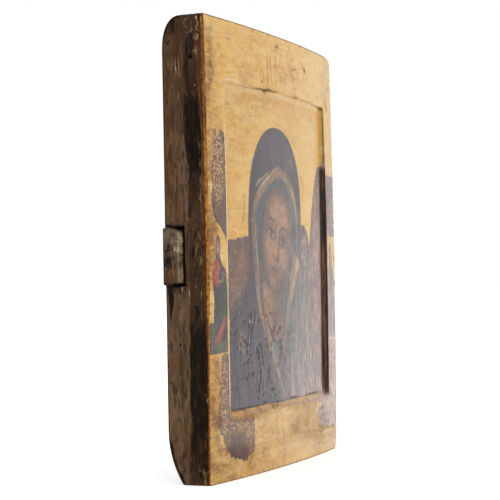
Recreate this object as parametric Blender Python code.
"""Icon panel: a thick wooden board, cupped with age, and the tapered batten across its back.

Metres, +Z up. The picture side faces -Y, the panel stands on its lower edge, and the origin
is under the middle of the whole, batten included. The board is first cut as a flat box whose
surface is divided at named stations. Its points are then moved by what made the real one:
wear at the edges, the sunk picture field, hewn back edges, broken corners and the cupping.
"""

import math

import bmesh
import bpy
from mathutils import Vector

# Board: 7 by 6 vershoks, an old standard size.
WIDTH = 0.267
HEIGHT = 0.3114
TOP_RISE = 0.0012  # the top edge isn't square: it is this much higher at the left
THICKNESS_TOP = 0.0314
THICKNESS_FOOT = 0.0320
CUPPING = 0.0068  # how far the middle of the front stands before its side edges
CROWN = 0.0014  # how far the front stands out at mid-height, where the board is thickest
WEAR = 0.0016  # radius of the worn edges

# Sunk picture field, as the margins left standing round it.
MARGIN_LEFT = 0.0295
MARGIN_RIGHT = 0.0273
MARGIN_TOP = 0.0410
MARGIN_FOOT = 0.0429
FIELD_DEPTH = 0.0030
FIELD_BEVEL = 0.0040

# The two right-hand corners are worn away: (side, end) and the (across, up) semi-axes.
WORN_CORNERS = {
    (1, 1): (0.019, 0.006),
    (1, -1): (0.007, 0.018),
}

# Back edges: how much of the thickness goes, and over what height.
TOP_BACK_ROUND = (0.016, 0.024)
TOP_BACK_FULLNESS = 2.5
FOOT_BACK_HEWN = (0.011, 0.036)
FOOT_BACK_CURVE = 2.1

# Batten: it is straight, and lies in a groove cut before the board cupped.
BATTEN_Z = 0.1519
BATTEN_HEIGHT_LEFT = 0.0364
BATTEN_HEIGHT_RIGHT = 0.0310
BATTEN_FRONT_Y = 0.0168  # behind the plane of the board's front side edges
BATTEN_BACK_Y = 0.0286
BATTEN_STANDS_OUT = 0.0070
BATTEN_STOPS_SHORT = 0.0012
BATTEN_DEPTH = BATTEN_BACK_Y - BATTEN_FRONT_Y
BATTEN_DOVETAIL = 0.0009  # each side gains this much height towards the groove's floor
BATTEN_WEAR = 0.0014
BATTEN_WORN_CORNER = (0.0050, 0.0024)  # how far back and down its top front corner is worn
GROOVE_SAG = 0.0003  # the groove's middle lies this far below the batten's
GROOVE_GAP_LEFT = 0.0019
GROOVE_GAP_RIGHT = 0.0006
GROOVE_FLOOR_GAP = 0.0008
GROOVE_PAST_THE_BOARD = 0.020

# Colour and roughness of each wood; neither is a metal.
BOARD_WOOD = ((0.16, 0.09, 0.045), 0.6)
BATTEN_WOOD = ((0.20, 0.15, 0.10), 0.75)


def clear_scene():
    for thing in list(bpy.data.objects):
        bpy.data.objects.remove(thing, do_unlink=True)


def wood(name, colour_and_roughness):
    colour, roughness = colour_and_roughness
    material = bpy.data.materials.new(name)
    material.use_nodes = True
    shader = material.node_tree.nodes["Principled BSDF"]
    shader.inputs["Base Color"].default_value = (*colour, 1.0)
    shader.inputs["Roughness"].default_value = roughness
    shader.inputs["Metallic"].default_value = 0.0
    material.diffuse_color = (*colour, 1.0)
    return material


def divided_box(half, cuts):
    """A box about the origin whose surface is divided at the cuts along each axis."""
    box = bmesh.new()
    bmesh.ops.create_cube(box, size=2.0)
    bmesh.ops.scale(box, vec=half, verts=box.verts)
    for axis, places in enumerate(cuts):
        normal = Vector((0.0, 0.0, 0.0))
        normal[axis] = 1.0
        for place in places:
            everything = box.verts[:] + box.edges[:] + box.faces[:]
            bmesh.ops.bisect_plane(
                box, geom=everything, dist=1e-7, plane_co=normal * place, plane_no=normal
            )
    return box


def both_ends(half, insets):
    """Stations at the same distances in from both ends of an axis."""
    return [sign * (half - inset) for inset in insets for sign in (-1, 1)]


def round_pair(p, q):
    """A point of the unit square, moved so that the square's far corner becomes an arc."""
    return p * math.sqrt(1 - q * q / 2), q * math.sqrt(1 - p * p / 2)


def ease_edges(point, half, radius):
    """Rounds every edge and corner of a box: its outer shell goes from cube to sphere."""
    share = [max(0.0, (abs(point[i]) - half[i] + radius) / radius) for i in range(3)]
    for i in range(3):
        if share[i] == 0.0:
            continue
        p, q, r = share[i], share[i - 1], share[i - 2]
        eased = p * math.sqrt(1 - q * q / 2 - r * r / 2 + q * q * r * r / 3)
        point[i] = math.copysign(half[i] - radius + radius * eased, point[i])


def sink_field(point):
    """Lowers the picture field; its bevel runs round it at one slope, mitred at the corners."""
    inside = min(
        point.x + WIDTH / 2 - MARGIN_LEFT,
        WIDTH / 2 - MARGIN_RIGHT - point.x,
        HEIGHT - MARGIN_TOP - point.z,
        point.z - MARGIN_FOOT,
    )
    point.y += FIELD_DEPTH * min(1.0, max(0.0, inside / FIELD_BEVEL))


def thickness_at(z):
    """The board's thickness at height z, with its back edges cut away at the top and foot."""
    thickness = THICKNESS_FOOT + (THICKNESS_TOP - THICKNESS_FOOT) * z / HEIGHT
    lost, height = TOP_BACK_ROUND
    near_top = min(1.0, max(0.0, (z - HEIGHT + height) / height))
    fullness = (1 - near_top**TOP_BACK_FULLNESS) ** (1 / TOP_BACK_FULLNESS)
    thickness -= lost * (1 - fullness)
    lost, height = FOOT_BACK_HEWN
    near_foot = max(0.0, 1 - z / height)
    return thickness - lost * near_foot**FOOT_BACK_CURVE


def break_corners(point):
    """Wears the right-hand corners to quarter ellipses, each with its own semi-axes."""
    middle = HEIGHT / 2
    for (side, end), (across, up) in WORN_CORNERS.items():
        p = (side * point.x - WIDTH / 2 + across) / across
        q = (end * (point.z - middle) - HEIGHT / 2 + up) / up
        if p > 0 and q > 0:
            p, q = round_pair(min(p, 1.0), min(q, 1.0))
            point.x = side * (WIDTH / 2 - across + across * p)
            point.z = middle + end * (HEIGHT / 2 - up + up * q)


def skew_top(point):
    """Lifts the upper part towards the left, most at the top edge."""
    above_field = max(0.0, (point.z - HEIGHT + MARGIN_TOP) / MARGIN_TOP)
    point.z += TOP_RISE * above_field * (0.5 - point.x / WIDTH) ** 2


def cup(point):
    """Bends the board about an upright axis behind it, and swells its front in height."""
    swelling = CROWN * (1 - (2 * point.z / HEIGHT - 1) ** 2) * (1 - point.y / THICKNESS_TOP)
    radius = ((WIDTH / 2) ** 2 + CUPPING**2) / (2 * CUPPING)
    depth = point.y
    sine = point.x / radius
    point.x = (radius - depth) * sine
    point.y = radius - CUPPING - (radius - depth) * math.sqrt(1 - sine * sine)
    point.y -= swelling


def board_stations():
    """Where the flat board's surface is divided: at each edge of a form, and across the curves."""
    left, right = -WIDTH / 2, WIDTH / 2
    across = both_ends(right, (WEAR / 2, WEAR, 2 * WEAR))
    across += [left + MARGIN_LEFT * 0.6, left + MARGIN_LEFT, left + MARGIN_LEFT + FIELD_BEVEL]
    across += [right - MARGIN_RIGHT, right - MARGIN_RIGHT - FIELD_BEVEL]
    corner = WORN_CORNERS[(1, 1)][0]
    across += [right - corner * share for share in (0.5, 0.75, 1.0)]
    field_steps = 7
    across += [WIDTH * 0.28 * (2 * step / (field_steps - 1) - 1) for step in range(field_steps)]

    depth = THICKNESS_TOP
    through = both_ends(depth / 2, (WEAR / 2, WEAR, depth / 3))

    up = [WEAR / 2, WEAR, 2 * WEAR]
    corner = WORN_CORNERS[(1, -1)][1]
    up += [corner * share for share in (0.5, 0.75, 1.0)]
    hewn = FOOT_BACK_HEWN[1]
    up += [hewn * 0.75, hewn, MARGIN_FOOT, MARGIN_FOOT + FIELD_BEVEL]
    up += [HEIGHT * share for share in (0.3, 0.5, 0.7)]
    up += [HEIGHT - MARGIN_TOP - FIELD_BEVEL, HEIGHT - MARGIN_TOP]
    rounded = TOP_BACK_ROUND[1]
    up += [HEIGHT - rounded * share for share in (1.0, 0.65, 0.4)]
    up += [HEIGHT - inset for inset in (WORN_CORNERS[(1, 1)][1], 2 * WEAR, WEAR, WEAR / 2)]
    return across, through, [z - HEIGHT / 2 for z in up]


def model_board(material):
    half = Vector((WIDTH / 2, THICKNESS_TOP / 2, HEIGHT / 2))
    board = divided_box(half, board_stations())
    for vertex in board.verts:
        point = vertex.co
        on_front = point.y < -half.y + 1e-6
        ease_edges(point, half, WEAR)
        point.y += half.y
        point.z += half.z
        if on_front:
            sink_field(point)
        point.y *= thickness_at(point.z) / THICKNESS_TOP
        break_corners(point)
        skew_top(point)
        cup(point)
    return finish_object("panel", board, material)


def batten_half_height(x):
    """Half the batten's height at x, on its face in the groove: it tapers to the right."""
    along = (x + WIDTH / 2) / WIDTH
    return (BATTEN_HEIGHT_LEFT + (BATTEN_HEIGHT_RIGHT - BATTEN_HEIGHT_LEFT) * along) / 2


def taper(point, half, gap=0.0):
    """Gives a straight bar the batten's taper and dovetail, widened by the gap on each side."""
    backward = (point.y + half.y) / BATTEN_DEPTH
    height = batten_half_height(point.x) + gap - BATTEN_DOVETAIL * backward
    point.z = BATTEN_Z + point.z / half.z * height


def model_batten(material):
    left = -WIDTH / 2 - BATTEN_STANDS_OUT
    right = WIDTH / 2 - BATTEN_STOPS_SHORT
    half = Vector(((right - left) / 2, BATTEN_DEPTH / 2, BATTEN_HEIGHT_LEFT / 2))
    insets = (BATTEN_WEAR / 2, BATTEN_WEAR)
    cuts = [both_ends(size, insets) for size in half]
    cuts[0] += [half.x * share for share in (-0.9, -0.5, 0.0, 0.5, 0.9)]
    worn_back, worn_down = BATTEN_WORN_CORNER
    cuts[1] += [-half.y + worn_back * share for share in (0.5, 1.0)]
    cuts[2].append(half.z - worn_back)
    bar = divided_box(half, cuts)
    for vertex in bar.verts:
        point = vertex.co
        ease_edges(point, half, BATTEN_WEAR)
        near_end = max(0.0, 1 - (point.x + half.x) / (4 * BATTEN_STANDS_OUT))
        near_top = max(0.0, 1 - (half.z - point.z) / worn_back)
        near_front = max(0.0, 1 - (point.y + half.y) / worn_back)
        point.z -= worn_down * near_end * near_top * near_front
        point.x += (left + right) / 2
        taper(point, half)
        point.y += (BATTEN_FRONT_Y + BATTEN_BACK_Y) / 2
    return finish_object("batten", bar, material)


def model_groove_cutter():
    """The groove that the batten was driven along: it runs through from side to side."""
    reach = WIDTH / 2 + GROOVE_PAST_THE_BOARD
    front = BATTEN_FRONT_Y - GROOVE_FLOOR_GAP
    half = Vector((reach, GROOVE_PAST_THE_BOARD, BATTEN_HEIGHT_LEFT / 2))
    cutter = divided_box(half, [[], [], []])
    for vertex in cutter.verts:
        point = vertex.co
        along = (point.x + WIDTH / 2) / WIDTH
        taper(point, half, GROOVE_GAP_LEFT + (GROOVE_GAP_RIGHT - GROOVE_GAP_LEFT) * along)
        point.y += front + half.y
        point.z -= GROOVE_SAG
    return finish_object("groove_cutter", cutter, None)


def finish_object(name, shape, material):
    mesh = bpy.data.meshes.new(name)
    bmesh.ops.recalc_face_normals(shape, faces=shape.faces)
    shape.to_mesh(mesh)
    shape.free()
    mesh.shade_smooth()
    mesh.set_sharp_from_angle(angle=math.radians(30))
    if material:
        mesh.materials.append(material)
    thing = bpy.data.objects.new(name, mesh)
    bpy.context.scene.collection.objects.link(thing)
    return thing


def cut_groove(board, cutter):
    cutter.hide_render = True
    cutter.display_type = "WIRE"
    cut = board.modifiers.new("groove", "BOOLEAN")
    cut.operation = "DIFFERENCE"
    cut.solver = "EXACT"
    cut.object = cutter


def settle_on_origin(pieces, helpers):
    """Moves everything so that the whole's lowest face is centred on the origin."""
    points = [vertex.co for piece in pieces for vertex in piece.data.vertices]
    low = [min(point[axis] for point in points) for axis in range(3)]
    high = [max(point[axis] for point in points) for axis in range(3)]
    middle = Vector(((low[0] + high[0]) / 2, (low[1] + high[1]) / 2, low[2]))
    for thing in pieces + helpers:
        for vertex in thing.data.vertices:
            vertex.co -= middle


def main():
    clear_scene()
    board = model_board(wood("board wood", BOARD_WOOD))
    batten = model_batten(wood("batten wood", BATTEN_WOOD))
    cutter = model_groove_cutter()
    cut_groove(board, cutter)
    settle_on_origin([board, batten], [cutter])


main()
